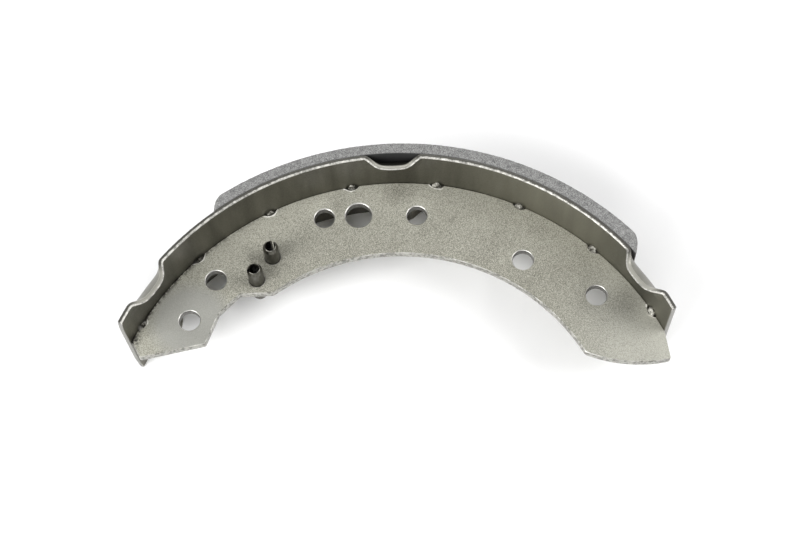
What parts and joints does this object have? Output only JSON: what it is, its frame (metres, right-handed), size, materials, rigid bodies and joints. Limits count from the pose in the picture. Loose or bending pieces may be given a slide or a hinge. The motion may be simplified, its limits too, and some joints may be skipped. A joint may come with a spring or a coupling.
{
  "type": "brake shoe",
  "caption": "Drum brake shoe of T-section: a flat crescent web welded inside a curved rim with crimped edges, a bonded friction lining outside, and spring pins through the web.",
  "frame": {"origin": "centre of the hold-down hole, half way through the web's thickness; the axis of the drum that the shoe works in is parallel to Z at x = 13.64 mm, y = -92.9 mm", "axes": "+Z along the drum's axis, which is the hold-down hole's own axis and square to the web; +X along the shoe's length towards its heel end; +Y outwards through the middle of the rim, towards the friction lining"},
  "size_m": [0.1975, 0.0809, 0.0446],
  "materials": {
    "web_steel": "satin",
    "rim_steel": "satin",
    "friction_material": "matte",
    "spring_steel": "satin"
  },
  "bodies": {
    "root": {"web": "web_steel", "rim": "rim_steel", "lining": "friction_material", "inner_pin": "spring_steel", "outer_pin": "spring_steel"}
  },
  "joints": []
}
